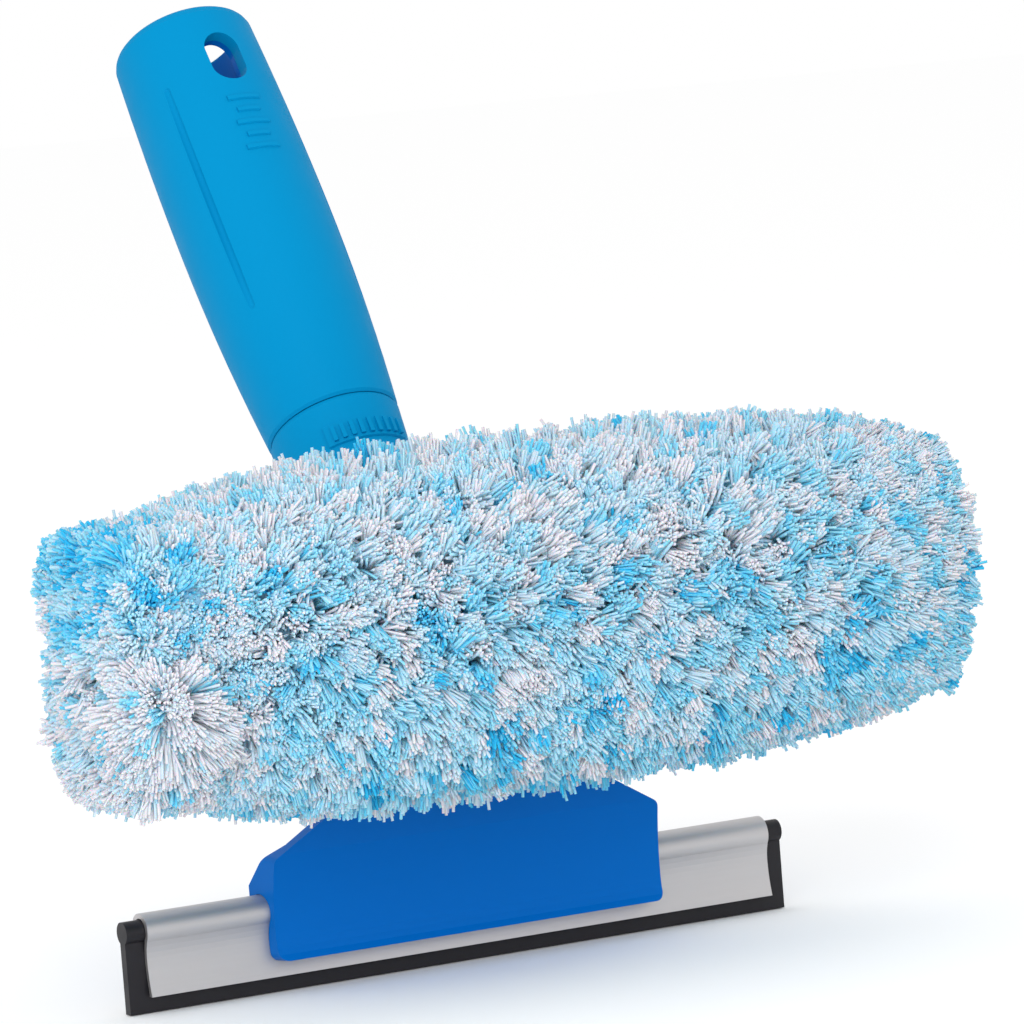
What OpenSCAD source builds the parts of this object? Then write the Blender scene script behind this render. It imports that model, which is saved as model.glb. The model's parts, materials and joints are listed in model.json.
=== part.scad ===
// Two-in-one window cleaning tool: a squeegee blade below, a microfibre scrubber in front,
// and one handle that leans back and takes an extension pole in its open end.
// Frame: X along the blade, -Y to the front, Z up in the plane of the blade.
// The origin is the middle of the blade's working edge. Millimetres.

/* [Blade and channel] */
// Length of the rubber blade
blade_len = 152; // [120:1:200]
// Thickness of the rubber blade
blade_t = 2.2; // [1.8:0.1:2.4]
// Length of rubber that stands out of each end of the channel
blade_proud = 4; // [2:0.5:6]
// Height of the channel's lower edge above the working edge
channel_z = 3.3; // [3:0.1:5]
// Wall of the folded aluminium channel
channel_wall = 1; // [0.8:0.1:1.2]

/* [Head] */
// Width of the clamp that holds the channel, at its back
jaw_w = 91.6; // [80:0.1:100]
// Height at which the clamp's sides start to slope in
jaw_shoulder_z = 28; // [26:0.5:30]
// Height of the top of the front plate
plate_top_z = 47; // [45:0.5:48]

/* [Handle] */
// Lean of the handle behind the plane of the blade, in degrees
handle_tilt = 35.2; // [33:0.1:37]
// Distance along the handle from its datum to its open end
handle_end = 182; // [175:0.1:190]
// Distance along the handle from its datum to the parting ring
ring_s = 82.9; // [80:0.1:85]
// Largest radius of the grip
grip_r_max = 16.5; // [16.3:0.1:18]
// Radius of the pole socket
socket_r = 11; // [10:0.1:11.2]

/* [Scrubber] */
// Length of the bar inside the sleeve, without its end caps
bar_len = 172; // [160:1:176]
// Depth of the bar, front to back
bar_d = 24; // [22:0.5:25]
// Height of the bar
bar_h = 40; // [36:0.5:42]
// Overall length of the sleeve with its pile
sleeve_len = 193; // [190:1:196]
// Overall depth of the sleeve with its pile
sleeve_d = 52; // [50:1:52]
// Overall height of the sleeve with its pile
sleeve_h = 66; // [60:1:66]

/* [Hidden] */

$fn = 72;
deep_blue = [0.02, 0.30, 0.62];
grip_blue = [0.03, 0.55, 0.80];
alloy = [0.72, 0.73, 0.76];
steel = [0.75, 0.75, 0.77];
black = [0.05, 0.05, 0.055];
pile_blue = [0.60, 0.83, 0.93];
cloth_white = [0.90, 0.91, 0.93];

gap = 0.1;                  // play between parts that are pressed together
eps = 0.01;

// Blade and channel
bulb_r = 2.3;
bulb_z = 16.3;
channel_r = bulb_r + 0.2 + channel_wall;
channel_len = blade_len - 2 * blade_proud;
waist_z = 11;               // the channel is narrowest here
waist_half = blade_t / 2 + 0.15 + channel_wall;
flare_half = 3.3;           // half width at the channel's lower edge

// Handle. Distances s run up the handle's axis from a datum at the height of the front plate.
axis_y = -8.8;
axis_z = 40;
widest_s = 133;
ring_r = 14.2;
end_r = 15.2;
end_round = 2.2;
collar_s = 59;
collar_r = 12.5;
stem_r = 8;
stem_top = 86;
core_neck_r = 11.2;
core_r = 12.6;
core_end = handle_end - 1.4;
socket_floor = 95;
hang_s = 167.5;
hang_r = 3.9;
ribs_s = 143;
hang_pitch = 4.6;
crease_angle = 54;          // the two creases lie this far round from the front
crease_r = 0.9;
crease_axis_r = 16.5;
crease_from = 109;
crease_to = 164;

// Clamp
draft_z = 26;               // the height that the draft leaves alone
draft_scale = 0.965;
hollow_z = 14;              // the front face is deepest here
hollow_depth = 4.9;
shoulder_slope = 59.3;      // direction the sloping shoulders face, in degrees above X
neck_half = 15;
neck_z = 45.5;

// Clamp screws
jaw_screw_x = 10.5;
jaw_screw_z = 25.5;
screw_r = 1.5;
head_r = 3;

// Scrubber
bar_y = -33.2;
bar_z = 73;
bar_round = 5;
bar_wall = 1.8;
cap_t = 2;
bar_back = bar_y + bar_d / 2;
bracket_half_x = 12;
bracket_half_z = 8;
bar_screw_x = 7;
strip_t = 0.8;
strip_z = 13.2;             // strips lie this far above and below the bar's middle
backing_t = 1.4;
backing_play = 0.4;
back_room = 2;              // room behind the bar for the hook and loop strips
slot_half_z = 11;
slot_x = -16;               // the slot runs from here to the sleeve's open end
sleeve_left = -97;
pile_round = 20;

// Points on an arc, for rounded corners of an outline
function arc(x, y, r, from, to, steps = 6) =
    [for (i = [0:steps]) [x + r * cos(from + (to - from) * i / steps),
                          y + r * sin(from + (to - from) * i / steps)]];

// Radius of the grip at a distance s up the handle
function grip_r(s) = s < widest_s
    ? grip_r_max - (grip_r_max - ring_r) * pow((widest_s - s) / (widest_s - ring_s), 2)
    : grip_r_max - (grip_r_max - end_r) * pow((s - widest_s) / (handle_end - widest_s), 2);

// Radius of the collar at a distance s up the handle
function collar_radius(s) =
    collar_r + (ring_r - 0.1 - collar_r) * (s - collar_s - 0.8) / (ring_s - collar_s - 1.8);

// Half width of the channel's outside at a height z below its round top
function channel_half(z) = z < waist_z
    ? waist_half + (flare_half - waist_half) * pow((waist_z - z) / (waist_z - channel_z), 2)
    : waist_half + (2.9 - waist_half) * pow((z - waist_z) / (bulb_z - 2 - waist_z), 2);

// How far the clamp's hollow front face stands out at a height z
function face_depth(z) = z < hollow_z
    ? hollow_depth + 1.6 * pow((hollow_z - z) / (hollow_z - 6.5), 4)
    : hollow_depth + 1.8 * pow((z - hollow_z) / (jaw_shoulder_z - hollow_z), 2);

// Sweeps a (Y, Z) outline along X, centred
module along_x(len) rotate([90, 0, 90]) linear_extrude(len, center = true) children();

// Puts children in the handle's frame: its Z is the handle's axis, its -Y the front
module on_handle() translate([0, axis_y, axis_z]) rotate([-handle_tilt, 0, 0]) children();

// A screw along +Y with its head's underside at the origin
module screw_y(len, r = screw_r, head = head_r, head_h = 2) {
    rotate([90, 0, 0]) cylinder(r = r, h = len);
    difference() {
        rotate([-90, 0, 0]) cylinder(r = head, h = head_h);
        translate([0, head_h - 1 + eps, 0]) rotate([-90, 0, 0]) cylinder(r = 1.1, h = 1, $fn = 6);
    }
}

// A rectangle with round corners made of true arcs
module round_rect(w, h, r) {
    square([w - 2 * r, h], center = true);
    square([w, h - 2 * r], center = true);
    for (x = [-1, 1], y = [-1, 1])
        translate([x * (w / 2 - r), y * (h / 2 - r)]) circle(r);
}

// The channel's outside, grown by extra
module channel_outside(extra = 0) {
    translate([0, bulb_z]) circle(channel_r + extra);
    levels = [for (i = [0:10]) channel_z + (bulb_z - 2 - channel_z) * i / 10];
    polygon(concat([for (z = levels) [channel_half(z) + extra, z]],
                   [for (i = [10:-1:0]) [-channel_half(levels[i]) - extra, levels[i]]]));
}

// The room inside the channel, open at its lower edge
module channel_inside() {
    translate([0, bulb_z]) circle(channel_r - channel_wall);
    levels = [for (i = [0:10]) channel_z + (bulb_z - 1 - channel_z) * i / 10];
    inner = [for (z = levels) min(channel_half(min(z, bulb_z - 2)), waist_half + 0.8) - channel_wall];
    polygon(concat([[inner[0], channel_z - 1]], [for (i = [0:10]) [inner[i], levels[i]]],
                   [for (i = [10:-1:0]) [-inner[i], levels[i]]], [[-inner[0], channel_z - 1]]));
}

module channel() color(alloy)
    along_x(channel_len) difference() {
        channel_outside();
        channel_inside();
    }

module rubber_blade() color(black)
    along_x(blade_len) {
        translate([-blade_t / 2, 0]) square([blade_t, bulb_z]);
        translate([0, bulb_z]) circle(bulb_r);
    }

// Side view of the front plate, its lip and the block over the channel
module plate_profile() difference() {
    polygon(concat([[0, 6.2], [-5.7, 6]],
                   [for (i = [0:16]) let (z = 6.5 + (jaw_shoulder_z - 6.5) * i / 16) [-face_depth(z), z]],
                   [[-7, jaw_shoulder_z + 5], [-7, plate_top_z], [-4.2, plate_top_z], [-4.2, 29.6],
                    [3.3, 21.4], [3.3, 18.5], [0, 18.5]]));
    channel_outside(gap);
}

// Front view of the clamp, with round lower corners and sloping shoulders
module plate_outline() {
    half = jaw_w / 2;
    r = 2;
    polygon(concat(arc(half - r, 6 + r, r, -90, 0),
                   arc(half - r, jaw_shoulder_z - r, r, 0, shoulder_slope),
                   [[neck_half, neck_z], [neck_half, plate_top_z + 1],
                    [-neck_half, plate_top_z + 1], [-neck_half, neck_z]],
                   arc(r - half, jaw_shoulder_z - r, r, 180 - shoulder_slope, 180),
                   arc(r - half, 6 + r, r, 180, 270)));
}

// The front plate, with moulding draft: its outline gets smaller towards the front
module jaw_plate() intersection() {
    along_x(jaw_w + 2) plate_profile();
    translate([0, 4, draft_z]) rotate([90, 0, 0]) linear_extrude(12, scale = draft_scale)
        translate([0, -draft_z]) plate_outline();
}

// Block behind the plate that carries the stem
module gusset() {
    translate([-17, -4.3, 20]) cube([34, 7.6, 23.5]);
    for (x = [-27, 25])
        translate([x, 0, 0]) rotate([90, 0, 90]) linear_extrude(2)
            polygon([[-4.4, 29], [-4.4, 37], [-0.5, 30], [-0.5, 25.5]]);
}

// The round stem under the handle, cut flat where it passes behind the sleeve
module stem() difference() {
    on_handle() {
        translate([0, 0, 4]) cylinder(r1 = 10, r2 = 12, h = collar_s - 5);
        translate([0, 0, 40]) cylinder(r = stem_r, h = stem_top - 40);
    }
    translate([-30, -46.5, -20]) cube([60, 40, 120]);
}

module bracket() translate([-bracket_half_x, bar_back, bar_z - bracket_half_z])
    cube([2 * bracket_half_x, 31, 2 * bracket_half_z]);

module head_body() color(deep_blue) difference() {
    union() {
        jaw_plate();
        gusset();
        stem();
        bracket();
    }
    along_x(60) channel_outside(gap);
    for (x = [-jaw_screw_x, jaw_screw_x])
        translate([x, 4, jaw_screw_z]) rotate([90, 0, 0]) cylinder(r = screw_r + 0.02, h = 8.2);
    for (x = [-bar_screw_x, bar_screw_x])
        translate([x, bar_back - eps, bar_z]) rotate([-90, 0, 0]) cylinder(r = screw_r + 0.02, h = 10.2);
    on_handle() translate([0, 0, stem_top - 11.2]) cylinder(r = screw_r + 0.02, h = 12);
}

// Rear half of the clamp: a cover across the channel's back, raised in the middle for its screws
module rear_jaw() color(deep_blue) difference() {
    intersection() {
        along_x(80) difference() {
            polygon([[0.6, 6.4], [5.2, 6.4], [6, 7.4], [6, 29.4],
                     [5.4, 30], [3.4, 30], [3.4, 18.4], [0.6, 18.4]]);
            channel_outside(gap);
        }
        rotate([90, 0, 0]) linear_extrude(40, center = true)
            polygon([[-38, 6], [38, 6], [38, 18], [34, 21.2], [16.5, 21.2], [15, 31],
                     [-15, 31], [-16.5, 21.2], [-34, 21.2], [-38, 18]]);
    }
    for (x = [-jaw_screw_x, jaw_screw_x])
        translate([x, 7, jaw_screw_z]) rotate([90, 0, 0]) cylinder(r = screw_r + 0.1, h = 4);
}

module jaw_screws() color(steel)
    for (x = [-jaw_screw_x, jaw_screw_x]) translate([x, 6, jaw_screw_z]) screw_y(10);

// Inner tube of the handle: a spigot seat below, the pole socket above
module handle_core() color(deep_blue) on_handle() difference() {
    rotate_extrude() polygon([[stem_r + 0.05, collar_s], [core_neck_r, collar_s], [core_neck_r, 93],
        [core_r, 96], [core_r, core_end], [socket_r, core_end], [socket_r, socket_floor], [5, socket_floor],
        [5, 91.5], [screw_r + 0.1, 91.5], [screw_r + 0.1, stem_top + 0.1], [stem_r + 0.05, stem_top + 0.1]]);
    hang_hole();
}

// The oval hole across the handle's end, cut front to back
module hang_hole() translate([0, 0, hang_s]) rotate([90, 0, 0]) {
    for (z = [-1, 1]) translate([0, z * hang_pitch / 2, 0]) cylinder(r = hang_r, h = 60, center = true);
    cube([2 * hang_r, hang_pitch, 60], center = true);
}

module handle_grip() color(grip_blue) on_handle() difference() {
    rotate_extrude() polygon(concat(
        [[core_neck_r + 0.05, ring_s], [ring_r - 0.4, ring_s]],
        [for (i = [0:18]) let (s = ring_s + 0.6 + (handle_end - end_round - ring_s - 0.6) * i / 18)
            [grip_r(s), s]],
        arc(end_r - end_round, handle_end - end_round, end_round, 10, 90, 5),
        [[core_r + 0.05, handle_end], [core_r + 0.05, 96 - eps], [core_neck_r + 0.05, 93 - eps]]));
    hang_hole();
    for (side = [-1, 1])
        rotate([0, 0, side * crease_angle]) translate([0, -crease_axis_r, 0]) {
            translate([0, 0, crease_from]) cylinder(r = crease_r, h = crease_to - crease_from);
            for (s = [crease_from, crease_to]) translate([0, 0, s]) sphere(crease_r, $fn = 24);
        }
}

// Part of a ring round the front of the handle, spanning an angle, with the outline of its section
module front_arc(angle) rotate([0, 0, -90 - angle / 2]) rotate_extrude(angle = angle) children();

// A raised band from s to s + len that stands lift above the radii r0 and r1 at its ends
module band_section(r0, r1, s, len, lift)
    polygon([[r0 + 0.02, s], [r0 + lift, s + 0.25], [r1 + lift, s + len - 0.25], [r1 + 0.02, s + len]]);

// Plain cross ribs on the front of the grip below the hang hole
module grip_ribs() color(grip_blue) on_handle()
    for (i = [0:4]) let (s = ribs_s + i * 3.2)
        front_arc(i % 2 == 0 ? 26 : 18) band_section(grip_r(s), grip_r(s + 1.4), s, 1.4, 0.4);

module grip_collar() color(grip_blue) on_handle() rotate_extrude()
    polygon([[core_neck_r + 0.05, collar_s], [collar_r - 0.5, collar_s], [collar_r, collar_s + 0.8],
             [ring_r - 0.1, ring_s - 1], [ring_r - 0.5, ring_s - 0.2], [core_neck_r + 0.05, ring_s - 0.2]]);

// A plain raised pad with upright ribs round the front of the collar
module collar_badge() color(grip_blue) on_handle() {
    front_arc(80) band_section(collar_radius(72), collar_radius(77), 72, 5, 0.5);
    for (i = [-4:4])
        rotate([0, 0, i * 8]) translate([-0.45, -(collar_radius(74.5) + 1), 72.8]) cube([0.9, 0.8, 3.4]);
}

module stem_screw() color(steel) on_handle() difference() {
    union() {
        translate([0, 0, stem_top - 10]) cylinder(r = screw_r, h = 91.5 - stem_top + 10 + eps);
        translate([0, 0, 91.5]) cylinder(r = 4, h = 2.8);
    }
    translate([0, 0, 93]) cylinder(r = 1.5, h = 3, $fn = 6);
}

// Moves a (Y, Z) section to the bar's axis
module on_bar() translate([0, bar_y, bar_z]) children();

// Hollow bar inside the sleeve, with water holes along its front
module scrubber_bar() color(deep_blue) difference() {
    on_bar() along_x(bar_len) difference() {
        round_rect(bar_d, bar_h, bar_round);
        round_rect(bar_d - 2 * bar_wall, bar_h - 2 * bar_wall, bar_round - bar_wall);
    }
    for (i = [-5:5]) translate([i * 14, bar_y, bar_z]) rotate([90, 0, 0]) cylinder(r = 3.2, h = bar_d);
    for (x = [-bar_screw_x, bar_screw_x])
        translate([x, bar_y, bar_z]) rotate([-90, 0, 0]) cylinder(r = screw_r + 0.1, h = bar_d);
}

// End plug of the bar. side is -1 for the left end and 1 for the right
module bar_cap(side) color(deep_blue) on_bar() translate([side * bar_len / 2, 0, 0]) {
    translate([side * cap_t / 2, 0, 0]) along_x(cap_t) round_rect(bar_d, bar_h, bar_round);
    translate([-side * 2, 0, 0]) along_x(4)
        round_rect(bar_d - 2 * bar_wall - 2 * gap, bar_h - 2 * bar_wall - 2 * gap,
                   bar_round - bar_wall - gap);
}

module bar_screws() color(steel)
    for (x = [-bar_screw_x, bar_screw_x])
        translate([x, bar_back - bar_wall, bar_z]) rotate([0, 0, 180]) screw_y(11);

// Two strips along X behind the bar: y is their front face
module strips(y, x0, len, h) for (side = [-1, 1])
    translate([x0, y, bar_z + side * strip_z - h / 2]) cube([len, strip_t, h]);

module hook_strips() color(cloth_white) strips(bar_back, -78, 156, 3.4);

module loop_strips() color(cloth_white) strips(bar_back + strip_t + 0.2, -80, 160, 4);

// Section of the sleeve's cloth tube, grown by extra
module cloth_section(extra) translate([back_room / 2 - backing_play / 2, 0])
    round_rect(bar_d + backing_play + back_room + 2 * extra, bar_h + 2 * backing_play + 2 * extra,
               bar_round + backing_play + extra);

// Everything that has to stay open for the bracket when the sleeve slides off to the left
module sleeve_slot() translate([slot_x, bar_back, bar_z - slot_half_z])
    cube([150, 40, 2 * slot_half_z]);

module sleeve_backing() color(cloth_white) difference() {
    on_bar() translate([0.5, 0, 0]) along_x(181) cloth_section(backing_t);
    on_bar() translate([11.6, 0, 0]) along_x(200.4) cloth_section(0);
    sleeve_slot();
}

// The pile as one soft block round the cloth
module sleeve_pile() color(pile_blue) difference() {
    on_bar() translate([sleeve_left + sleeve_len / 2, 0, 0]) along_x(sleeve_len)
        round_rect(sleeve_d, sleeve_h, pile_round);
    on_bar() translate([9.95, 0, 0]) along_x(200) cloth_section(backing_t + 0.05);
    sleeve_slot();
}

// Tapes sewn to the two edges of the slot
module slot_binding() color(cloth_white) for (side = [-1, 1])
    translate([slot_x + 1, bar_back + back_room + backing_t + 0.1, bar_z + side * (slot_half_z - 1) - 0.8])
        cube([100, 1.6, 1.6]);

// Sewn ridge that closes the sleeve's left end
module end_seam() color(cloth_white)
    translate([-88.6, bar_y - 0.6, bar_z - 12]) cube([0.5, 1.6, 24]);

// Elastic hem inside the sleeve's open end
module mouth_band() color(cloth_white) difference() {
    on_bar() translate([91.8, 0, 0]) along_x(1.4) cloth_section(backing_t);
    on_bar() translate([91.8, 0, 0]) along_x(3) cloth_section(0);
    sleeve_slot();
}

head_body();
rear_jaw();
jaw_screws();
channel();
rubber_blade();
handle_core();
handle_grip();
grip_ribs();
grip_collar();
collar_badge();
stem_screw();
scrubber_bar();
bar_cap(-1);  // bar_cap_left
bar_cap(1);  // bar_cap_right
bar_screws();
hook_strips();
sleeve_backing();
sleeve_pile();
loop_strips();
slot_binding();
end_seam();
mouth_band();
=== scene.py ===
import json
import math

import bpy
import numpy as np
from mathutils import Matrix, Vector


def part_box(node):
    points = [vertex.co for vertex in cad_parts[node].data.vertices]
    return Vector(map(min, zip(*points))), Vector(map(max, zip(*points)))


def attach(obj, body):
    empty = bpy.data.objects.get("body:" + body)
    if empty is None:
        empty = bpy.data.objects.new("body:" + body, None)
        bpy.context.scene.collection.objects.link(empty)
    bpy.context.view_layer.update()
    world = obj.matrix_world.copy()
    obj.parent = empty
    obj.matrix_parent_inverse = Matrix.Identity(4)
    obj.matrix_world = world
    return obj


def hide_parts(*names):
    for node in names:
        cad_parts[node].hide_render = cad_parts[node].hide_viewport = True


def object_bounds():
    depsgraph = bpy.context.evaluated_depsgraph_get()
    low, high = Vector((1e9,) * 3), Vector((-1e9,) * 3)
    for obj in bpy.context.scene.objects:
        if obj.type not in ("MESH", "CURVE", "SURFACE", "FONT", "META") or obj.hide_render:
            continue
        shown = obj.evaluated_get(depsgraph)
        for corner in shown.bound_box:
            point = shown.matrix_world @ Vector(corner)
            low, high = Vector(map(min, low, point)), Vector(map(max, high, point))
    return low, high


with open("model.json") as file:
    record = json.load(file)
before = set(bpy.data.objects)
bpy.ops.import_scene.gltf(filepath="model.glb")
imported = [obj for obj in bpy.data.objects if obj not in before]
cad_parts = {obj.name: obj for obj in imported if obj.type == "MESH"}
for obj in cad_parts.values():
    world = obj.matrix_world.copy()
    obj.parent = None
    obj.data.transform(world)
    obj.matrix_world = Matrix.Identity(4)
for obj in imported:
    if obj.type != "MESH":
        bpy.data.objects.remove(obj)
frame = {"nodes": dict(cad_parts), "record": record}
cad_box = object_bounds()
nodes = frame["nodes"]
MM = 0.001


# ---- Materials -------------------------------------------------------------

NOISE_LOW, NOISE_HIGH = 0.3, 0.7        # nearly all of a noise's values lie between these
BUMP_DEPTH = 0.2 * MM
SOFT_DEPTH = 0.8 * MM                   # how far light goes into the pile's strands


def material(name, color, rough, metallic=0.0, sheen=0.0, specular=0.5, soft=0.0, rough_noise=None,
             bump=None, stretch=(1, 1, 1)):
    """A plain-coloured material. rough_noise is (scale, low, high) and bump is (scale, strength)."""
    mat = bpy.data.materials.new(name)
    mat.use_nodes = True
    tree = mat.node_tree
    shader = tree.nodes["Principled BSDF"]
    shader.inputs["Base Color"].default_value = (*color, 1)
    shader.inputs["Roughness"].default_value = rough
    shader.inputs["Metallic"].default_value = metallic
    shader.inputs["Sheen Weight"].default_value = sheen
    shader.inputs["Sheen Roughness"].default_value = 0.5
    shader.inputs["Specular IOR Level"].default_value = specular
    shader.inputs["Subsurface Weight"].default_value = soft
    shader.inputs["Subsurface Scale"].default_value = SOFT_DEPTH
    if not (rough_noise or bump):
        return mat
    coords = tree.nodes.new("ShaderNodeTexCoord")
    mapping = tree.nodes.new("ShaderNodeMapping")
    mapping.inputs["Scale"].default_value = stretch
    tree.links.new(coords.outputs["Object"], mapping.inputs["Vector"])

    def noise(scale):
        node = tree.nodes.new("ShaderNodeTexNoise")
        node.inputs["Scale"].default_value = scale
        node.inputs["Detail"].default_value = 4
        tree.links.new(mapping.outputs["Vector"], node.inputs["Vector"])
        return node

    if rough_noise:
        scale, low, high = rough_noise
        spread = tree.nodes.new("ShaderNodeMapRange")
        spread.inputs["From Min"].default_value = NOISE_LOW
        spread.inputs["From Max"].default_value = NOISE_HIGH
        spread.inputs["To Min"].default_value = low
        spread.inputs["To Max"].default_value = high
        tree.links.new(noise(scale).outputs["Fac"], spread.inputs["Value"])
        tree.links.new(spread.outputs["Result"], shader.inputs["Roughness"])
    if bump:
        scale, strength = bump
        lift = tree.nodes.new("ShaderNodeBump")
        lift.inputs["Strength"].default_value = strength
        lift.inputs["Distance"].default_value = BUMP_DEPTH
        tree.links.new(noise(scale).outputs["Fac"], lift.inputs["Height"])
        tree.links.new(lift.outputs["Normal"], shader.inputs["Normal"])
    return mat


head_blue = material("head_blue", (0.0, 0.123, 0.47), 0.32, specular=0.05,
                     rough_noise=(140, 0.28, 0.38), bump=(900, 0.03))
grip_blue = material("grip_blue", (0.0, 0.225, 0.47), 0.5, specular=0.03,
                     rough_noise=(160, 0.46, 0.56), bump=(1400, 0.04))
alloy = material("alloy", (0.55, 0.535, 0.54), 0.5, metallic=1.0,
                 rough_noise=(300, 0.46, 0.54), stretch=(0.05, 1, 1))
steel = material("steel", (0.56, 0.56, 0.58), 0.3, metallic=1.0, rough_noise=(400, 0.25, 0.38))
rubber = material("rubber", (0.010, 0.009, 0.012), 0.45, specular=0.3,
                  rough_noise=(220, 0.4, 0.52), bump=(600, 0.06))
cloth = material("cloth", (0.62, 0.74, 0.84), 0.9, sheen=0.3, bump=(2200, 0.6))
tape = material("tape", (0.74, 0.78, 0.83), 0.85, sheen=0.3, bump=(3000, 0.5), stretch=(1, 0.3, 0.3))
undercoat = material("undercoat", (0.38, 0.68, 0.86), 0.95, specular=0.1, bump=(1500, 0.8))

FINISH = {"head_plastic": head_blue, "grip_plastic": grip_blue, "channel_alloy": alloy, "screw_steel": steel,
          "blade_rubber": rubber, "backing_fabric": cloth, "strip_fabric": tape, "pile_fabric": undercoat}
for part in frame["record"]["subparts"]:
    for place in nodes[part["node"]].material_slots:
        place.material = FINISH[part["material_slot"]]

PILE_COLORS = {
    "pile_white": (0.70, 0.71, 0.77),
    "pile_mist": (0.53, 0.70, 0.81),
    "pile_pale": (0.39, 0.69, 0.84),
    "pile_sky": (0.25, 0.64, 0.82),
    "pile_azure": (0.12, 0.56, 0.81),
    "pile_deep": (0.03, 0.46, 0.78),
}
pile_materials = [material(name, color, 0.8, specular=0.1, soft=0.3)
                  for name, color in PILE_COLORS.items()]


# ---- The sleeve ------------------------------------------------------------

cloth_low, cloth_high = (Vector(c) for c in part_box("sleeve_backing"))
pile_low, pile_high = (Vector(c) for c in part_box("sleeve_pile"))
tape_low, tape_high = (Vector(c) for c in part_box("slot_binding"))
CLOTH_ROUND = 6.8 * MM                  # radius of the cloth tube's corners
MIDDLE = (cloth_low + cloth_high) / 2
HALF = (cloth_high - cloth_low) / 2
SLOT_START = tape_low.x - 1 * MM
SLOT_HALF = (tape_high.z - tape_low.z) / 2 + 0.4 * MM
BASE_VOXEL = 4 * MM
BASE_SKIN = 2 * MM                      # what lies nearer than this to the cloth isn't drawn in
BASE_DEPTH = 0.22                       # share of the pile's depth that its base keeps


def cloth_surface(p):
    """The nearest point of the cloth tube's outside to p, and the direction from it to p. Works on arrays."""
    inner = HALF - Vector((CLOTH_ROUND,) * 3)
    core = np.clip(p - np.array(MIDDLE), -np.array(inner), np.array(inner)) + np.array(MIDDLE)
    away = p - core
    length = np.maximum(np.linalg.norm(away, axis=1, keepdims=True), 1e-9)
    return core + away / length * CLOTH_ROUND, away / length


def padded_undercoat():
    """The thick base of the pile: the CAD block drawn in towards the cloth, then swelled as cloth."""
    source = nodes["sleeve_pile"]
    base = bpy.data.objects.new("pile_base", source.data.copy())
    bpy.context.scene.collection.objects.link(base)
    bpy.context.view_layer.objects.active = base
    remesh = base.modifiers.new("remesh", "REMESH")
    remesh.mode = "VOXEL"
    remesh.voxel_size = BASE_VOXEL
    with bpy.context.temp_override(object=base, active_object=base, selected_objects=[base]):
        bpy.ops.object.modifier_apply(modifier="remesh")
    count = len(base.data.vertices)
    points = np.empty(count * 3)
    base.data.vertices.foreach_get("co", points)
    points = points.reshape(-1, 3)
    near, _ = cloth_surface(points)
    depth = np.linalg.norm(points - near, axis=1)
    drawn_in = np.where((depth > BASE_SKIN)[:, None], near + (points - near) * BASE_DEPTH, points)
    base.data.vertices.foreach_set("co", drawn_in.ravel())
    base.data.update()
    swell(base, drawn_in)
    smooth = base.modifiers.new("smooth", "SUBSURF")
    smooth.levels = smooth.render_levels = 1
    with bpy.context.temp_override(object=base, active_object=base, selected_objects=[base]):
        bpy.ops.object.modifier_apply(modifier="smooth")
    base.data.materials.clear()
    base.data.materials.append(undercoat)
    base.data.polygons.foreach_set("use_smooth", [True] * len(base.data.polygons))
    return base


def swell(obj, rest, most=1.2 * MM, last=20, pressure=4, quality=5):
    """Blows obj up a little as cloth, with no point moving more than most."""
    scene = bpy.context.scene
    sim = obj.modifiers.new("cloth", "CLOTH")
    sim.settings.quality = quality
    sim.settings.use_pressure = True
    sim.settings.uniform_pressure_force = pressure
    sim.settings.effector_weights.gravity = 0
    for number in range(1, last + 1):
        scene.frame_set(number)
    shown = obj.evaluated_get(bpy.context.evaluated_depsgraph_get()).to_mesh()
    moved = np.empty(len(shown.vertices) * 3)
    shown.vertices.foreach_get("co", moved)
    moved = moved.reshape(-1, 3)
    obj.modifiers.remove(sim)
    scene.frame_set(1)
    step = moved - rest
    size = np.maximum(np.linalg.norm(step, axis=1, keepdims=True), 1e-9)
    obj.data.vertices.foreach_set("co", (rest + step * np.minimum(1, most / size)).ravel())
    obj.data.update()


base = padded_undercoat()
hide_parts("sleeve_pile")
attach(base, "sleeve")

# Tufts of the pile
TUFT_STEP = 2.95 * MM                   # from one tuft to the next
STRANDS = 30                            # in a tuft
UNDER_STRANDS = 24                      # looser ones beside each tuft
UNDER_REACH = 0.84                      # their length, as a share of the tuft's
STRAND_R = 0.36 * MM
TIP_SHARE = 0.95                        # a strand's radius at its tip, as a share of the rest
STRAY = (0.24, 0.5)                     # how far a strand's middle and tip stray, in mm
PIECE_STRANDS = 14000                   # in one mesh
END_RINGS = 7                           # rings of tufts over the closed end
SPINE = 40 * MM                         # tufts stand straight this far to each side of the middle
FAN_LEFT, FAN_RIGHT = -21 * MM, 32 * MM  # how far out the tufts at the two ends aim
FAN_START = 66 * MM                     # the pile has extra tufts from here to the ends
SHORTEST, LONGEST = 6 * MM, 17 * MM     # tufts
REACH_SEARCH = 40 * MM
rng = np.random.default_rng(7)


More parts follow.
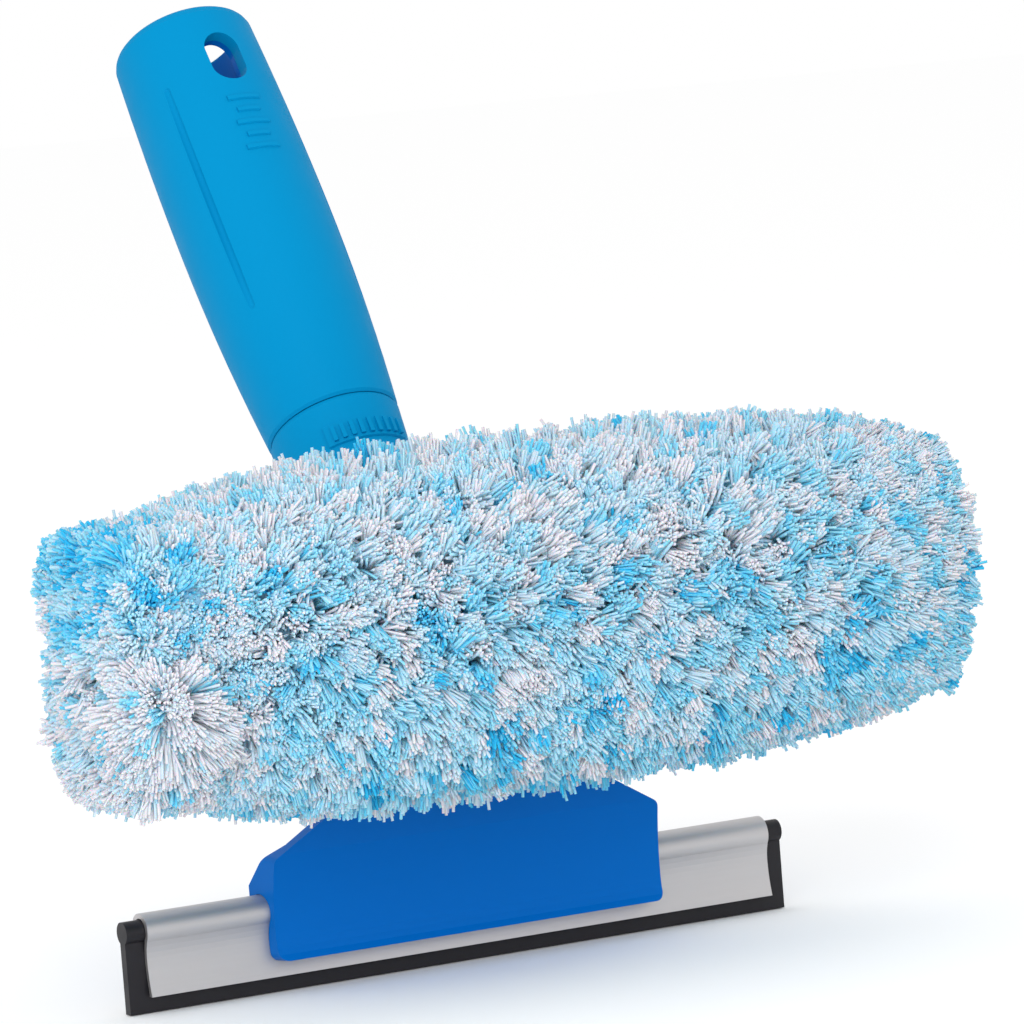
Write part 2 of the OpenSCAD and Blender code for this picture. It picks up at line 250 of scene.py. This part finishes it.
def tuft_roots():
    """Points on the cloth, and the way each tuft stands: round the tube, then over its closed left end."""
    flat_y, flat_z = HALF.y - CLOTH_ROUND, HALF.z - CLOTH_ROUND
    girth = 4 * (flat_y + flat_z) + 2 * math.pi * CLOTH_ROUND
    around, along = int(girth / TUFT_STEP), int(2 * HALF.x / TUFT_STEP)
    x = np.repeat(cloth_low.x + (np.arange(along) + 0.5) * 2 * HALF.x / along, around)
    near = np.column_stack([x + rng.uniform(-0.8, 0.8, len(x)) * MM,
                            section_points(flat_y, flat_z, around, along)])
    in_slot = (near[:, 1] > cloth_high.y - 1 * MM) & (abs(near[:, 2] - MIDDLE.z) < SLOT_HALF + 1.6 * MM)
    near = near[~(in_slot & (near[:, 0] > SLOT_START - 2 * MM))]
    end = [(cloth_low.x, MIDDLE.y, MIDDLE.z)]
    for ring in range(1, END_RINGS + 1):
        reach = ring / END_RINGS
        count = int(2.5 * math.pi * reach * (HALF.y + HALF.z) / 2 / TUFT_STEP)
        for k in range(count):
            turn = 2 * math.pi * (k + rng.uniform(-0.2, 0.2)) / count
            across_y, across_z = (math.copysign(math.sqrt(abs(part)), part) * 0.96 * reach
                                  for part in (math.cos(turn), math.sin(turn)))
            end.append((cloth_low.x, MIDDLE.y + HALF.y * across_y, MIDDLE.z + HALF.z * across_z))
    fanned = near[np.abs(near[:, 0] - MIDDLE.x) > FAN_START]
    fanned = fanned + rng.uniform(-0.5, 0.5, fanned.shape) * TUFT_STEP * np.array((1, 0, 0))
    near = np.concatenate([near, fanned, np.array(end)])
    return near, stand(near)


def stand(near):
    """The way a tuft stands on the cloth: out from the sleeve's spine, and fanning out round each end."""
    lift = near - np.array(MIDDLE)
    over = np.maximum(np.abs(lift[:, 0]) - SPINE, 0)
    fan = (over / (HALF.x - SPINE)) ** 2.5 * np.where(lift[:, 0] > 0, FAN_RIGHT, FAN_LEFT)
    way = np.column_stack([fan, lift[:, 1], lift[:, 2] * 0.8])
    return way / np.linalg.norm(way, axis=1, keepdims=True)


def envelope_reach(near, way):
    """How far along its way each tuft goes before it meets the pile's rounded outside."""
    shift, grow = np.array((5.0, -0.5, 0.3)) * MM, np.array((7.0, 1.2, 2.7)) * MM
    middle = np.array((pile_low + pile_high) / 2) + shift
    half = np.array((pile_high - pile_low) / 2) + grow
    low, high = np.zeros(len(near)), np.full(len(near), REACH_SEARCH)
    for _ in range(20):                 # halving the search range each time
        reach = (low + high) / 2
        x, y, z = np.abs((near + way * reach[:, None] - middle) / half).T
        right = near[:, 0] > middle[0]
        inside = np.where(right, (x / 1.04) ** 3, x ** 3.8) + y ** 2.4 + z ** 2.4 < 1
        low, high = np.where(inside, reach, low), np.where(inside, high, reach)
    return np.clip(low, SHORTEST, LONGEST)


def section_points(flat_y, flat_z, around, along):
    """Even places round the tube's section, once for each step along it."""
    corner = math.pi / 2 * CLOTH_ROUND
    girth = 4 * (flat_y + flat_z) + 4 * corner
    places = []
    for i in range(along):
        for j in range(around):
            s = ((j + 0.5 * (i % 2)) / around * girth + rng.uniform(-0.7, 0.7) * MM) % girth
            places.append(place_on_section(s, flat_y, flat_z, corner))
    return np.array(places) + np.array((MIDDLE.y, MIDDLE.z))


def place_on_section(s, flat_y, flat_z, corner):
    """The (y, z) place at a length s round a rounded rectangle, starting on its back face."""
    sides = ((2 * flat_z, (1, 0)), (2 * flat_y, (0, 1)), (2 * flat_z, (-1, 0)), (2 * flat_y, (0, -1)))
    for length, (ny, nz) in sides:
        out = CLOTH_ROUND
        if s < length:
            t = s - length / 2
            return (ny * (flat_y + out) - nz * t, nz * (flat_z + out) + ny * t)
        s -= length
        if s < corner:
            turn = math.atan2(nz, ny) + s / CLOTH_ROUND
            cy = flat_y * (ny - nz if ny - nz in (1, -1) else ny)
            cz = flat_z * (nz + ny if nz + ny in (1, -1) else nz)
            return (cy + math.cos(turn) * out, cz + math.sin(turn) * out)
        s -= corner
    return (flat_y + CLOTH_ROUND, -flat_z)


def tuft_shades(roots, ways):
    """A palette number for each tuft: white and blue in patches, deeper blue underneath as painted shade and
    whiter on top as painted light.
    """
    x, y, z = (roots[:, i] / MM for i in range(3))
    patch = (np.sin(x * 0.21 + y * 0.13) + np.sin(z * 0.33 - x * 0.09) + np.sin(x * 0.47 + z * 0.29)) / 3
    blue_end = np.exp(-((x + 92) / 15) ** 2 - ((z - 94) / 15) ** 2)
    white_end = np.exp(-((x + 88) / 20) ** 2 - ((z - 58) / 18) ** 2)
    # the - 0.6 * ways[:, 2] term is painted shade and light: tufts that point down get deeper blue as if
    # shadowed, tufts that point up get whiter as if lit
    level = 1.6 + patch * 0.9 - 0.6 * ways[:, 2] + 2.2 * blue_end - 1.8 * white_end
    level += rng.normal(0, 1.2, len(roots))
    return np.clip(np.round(level), 0, len(pile_materials) - 1).astype(int)


def across(ways):
    """Two directions square to each way."""
    side = np.cross(ways, np.array((0.31, 0.17, 0.93)))
    side /= np.linalg.norm(side, axis=1, keepdims=True)
    return side, np.cross(ways, side)


def tuft_lines(roots, ways, shade, reach, count, spreads, jitter):
    """count strands for each root, as lines (strand, 3 points, 3), and each strand's palette number.

    spreads is how wide a tuft is at its root, middle and tip, in mm. jitter is how unevenly tufts lean."""
    x, z = roots[:, 0] / MM, roots[:, 2] / MM
    swirl = np.column_stack([np.sin(x * 0.11 + z * 0.17), 0 * x, np.sin(x * 0.07 - z * 0.21)]) * 0.1
    lean = ways + swirl + rng.normal(0, jitter, ways.shape) + np.array((-0.06, -0.03, -0.14))
    lean /= np.linalg.norm(lean, axis=1, keepdims=True)
    size = reach * rng.uniform(0.88, 1.1, len(roots))
    n = len(roots) * count
    pick = np.repeat(np.arange(len(roots)), count)
    ways, lean, roots = ways[pick], lean[pick], roots[pick]
    size = (size[pick] * rng.uniform(0.86, 1.03, n))[:, None]
    u, v = across(lean)
    turn, out = rng.uniform(0, 2 * math.pi, n), np.sqrt(rng.uniform(0, 1, n))
    spread = (u * np.cos(turn)[:, None] + v * np.sin(turn)[:, None]) * out[:, None]
    line = np.empty((n, 3, 3))
    line[:, 0] = roots + spread * spreads[0] * MM
    line[:, 1] = roots + (ways * 0.42 + lean * 0.1) * size + spread * spreads[1] * MM
    line[:, 2] = roots + (ways * 0.42 + lean * 0.58) * size + spread * spreads[2] * MM
    line[:, 1:] += rng.normal(0, 1, (n, 2, 3)) * np.array(STRAY)[:, None] * MM
    color = np.clip(shade[pick] + rng.choice((-1, 0, 0, 0, 0, 1), n), 0, len(pile_materials) - 1)
    return line, color


def corner_burst(count=76):
    """Roots, ways and palette numbers of the tufts that burst out of the left front corner."""
    turn, out = rng.uniform(0, 2 * math.pi, count), rng.uniform(0.15, 1, count)
    axis = np.tile(np.array((-0.5, -0.85, -0.12)), (count, 1))
    u, v = across(axis / np.linalg.norm(axis, axis=1, keepdims=True))
    fan = (u * np.cos(turn)[:, None] + v * np.sin(turn)[:, None]) * out[:, None]
    ways = axis + fan * 2.1
    ways /= np.linalg.norm(ways, axis=1, keepdims=True)
    corner = np.array((cloth_low.x + 4.4 * MM, cloth_low.y - 2.4 * MM, MIDDLE.z - 8 * MM))
    white = np.where(rng.uniform(0, 1, count) < 0.8, 0, 3)
    return corner + fan * 2.5 * MM, ways, white


def edge_fringe(count=150):
    """Extra tufts up the edge between the sleeve's front and its closed end, where the others fan apart."""
    share = rng.uniform(-1, 1, count)
    roots = np.column_stack([cloth_low.x + rng.uniform(0, 12, count) * MM,
                             np.full(count, cloth_low.y) + 0.5 * MM, MIDDLE.z + share * HALF.z * 0.9])
    ways = np.array((-0.5, -0.85, 0.1)) + rng.normal(0, 0.4, (count, 3))
    ways = ways + share[:, None] * np.array((0, 0, 0.6))
    ways /= np.linalg.norm(ways, axis=1, keepdims=True)
    shade = tuft_shades(roots, ways)
    return roots, ways, shade


def strands():
    """Every strand: the tufts, looser ones beside them that hide the cloth, the burst and the fringe."""
    roots, ways = tuft_roots()
    shade = tuft_shades(roots, ways)
    reach = envelope_reach(roots, ways)
    between = roots + rng.uniform(-1, 1, roots.shape) * TUFT_STEP * 0.6
    burst, fringe = corner_burst(), edge_fringe()
    sets = (
        tuft_lines(roots, ways, shade, reach, STRANDS, (1.1, 1.4, 1.8), 0.3),
        tuft_lines(between, ways, shade, reach * UNDER_REACH, UNDER_STRANDS, (1.2, 2.0, 2.9), 0.5),
        tuft_lines(*burst, 13 * MM, STRANDS + 6, (0.9, 1.3, 1.9), 0.12),
        tuft_lines(*fringe, 9.5 * MM, STRANDS + 6, (1.2, 1.6, 2.1), 0.2),
    )
    return np.concatenate([a for a, _ in sets]), np.concatenate([b for _, b in sets])


def strand_mesh(name, line, color):
    """Closed three-sided strands with cut ends along the lines, as one mesh."""
    n = len(line)
    rings = np.empty((n, 9, 3))
    for k in range(3):
        step = line[:, min(k + 1, 2)] - line[:, min(k, 1)]
        u, v = across(step / np.linalg.norm(step, axis=1, keepdims=True))
        thick = STRAND_R * (TIP_SHARE if k == 2 else 1)
        for c in range(3):
            turn = 2 * math.pi * c / 3
            rings[:, 3 * k + c] = line[:, k] + (u * math.cos(turn) + v * math.sin(turn)) * thick
    faces = [(2, 1, 0)]
    for k in range(2):
        for c in range(3):
            d = (c + 1) % 3
            faces.append((3 * k + c, 3 * k + d, 3 * k + 3 + d, 3 * k + 3 + c))
    faces.append((6, 7, 8))
    sizes = np.array([len(f) for f in faces])
    corners = np.array([c for f in faces for c in f])
    mesh = bpy.data.meshes.new(name)
    mesh.vertices.add(n * 9)
    mesh.vertices.foreach_set("co", rings.ravel())
    loops = (np.arange(n)[:, None] * 9 + corners[None, :]).ravel()
    mesh.loops.add(len(loops))
    mesh.loops.foreach_set("vertex_index", loops)
    starts = np.concatenate([[0], np.cumsum(np.tile(sizes, n))[:-1]])
    mesh.polygons.add(n * len(faces))
    mesh.polygons.foreach_set("loop_start", starts)
    for mat in pile_materials:
        mesh.materials.append(mat)
    mesh.polygons.foreach_set("material_index", np.repeat(color, len(faces)))
    mesh.polygons.foreach_set("use_smooth", np.ones(n * len(faces), dtype=bool))
    mesh.update(calc_edges=True)
    obj = bpy.data.objects.new(name, mesh)
    bpy.context.scene.collection.objects.link(obj)
    return obj


lines, colors = strands()
for number, first in enumerate(range(0, len(lines), PIECE_STRANDS)):
    part = slice(first, first + PIECE_STRANDS)
    tufts = strand_mesh(f"pile_tufts_{number + 1}", lines[part], colors[part])
    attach(tufts, "sleeve")


# ---- Floor, light and camera -----------------------------------------------

FLOOR = 6.0                             # half its side, in metres
FLOOR_GAP = 0.2 * MM
floor_mesh = bpy.data.meshes.new("floor")
floor_mesh.from_pydata([(-FLOOR, -FLOOR, 0), (FLOOR, -FLOOR, 0), (FLOOR, FLOOR, 0), (-FLOOR, FLOOR, 0)],
                       [], [(0, 1, 2, 3)])
floor = bpy.data.objects.new("floor", floor_mesh)
bpy.context.scene.collection.objects.link(floor)
floor.location.z = cad_box[0][2] - FLOOR_GAP
floor_mesh.materials.append(material("floor_white", (0.99, 0.99, 0.99), 1.0, specular=0))

world = bpy.data.worlds.new("studio")
world.use_nodes = True
world.node_tree.nodes["Background"].inputs["Color"].default_value = (1, 1, 1, 1)
bpy.context.scene.world = world


def area_light(name, place, target, size, watts):
    lamp = bpy.data.lights.new(name, "AREA")
    lamp.shape = "SQUARE"
    lamp.size = size
    lamp.energy = watts
    obj = bpy.data.objects.new(name, lamp)
    obj.location = place
    obj.rotation_euler = (Vector(target) - Vector(place)).to_track_quat("-Z", "Y").to_euler()
    bpy.context.scene.collection.objects.link(obj)


area_light("key", (-0.75, -1.25, 0.85), (0, 0, 0.08), 0.6, 7)
area_light("fill", (-0.85, -1.15, 0.25), (0, 0, 0.1), 0.5, 5)

camera_data = bpy.data.cameras.new("camera")
camera_data.lens = 222.3
camera_data.sensor_width = 36
camera_data.clip_end = 50
camera = bpy.data.objects.new("camera", camera_data)
CAMERA_RIGHT = Vector((0.8711, -0.4848, -0.0778))
CAMERA_BACK = Vector((-0.4781, -0.8737, 0.0898))
CAMERA_TARGET = Vector((0.0046, -0.0266, 0.0924))
CAMERA_DISTANCE = 1.259
back = CAMERA_BACK.normalized()
up = back.cross(CAMERA_RIGHT).normalized()
right = up.cross(back)
turn = Matrix((right, up, back)).transposed().to_4x4()
camera.matrix_world = Matrix.Translation(CAMERA_TARGET + back * CAMERA_DISTANCE) @ turn
bpy.context.scene.collection.objects.link(camera)
bpy.context.scene.camera = camera
bpy.context.scene.view_settings.view_transform = "Standard"
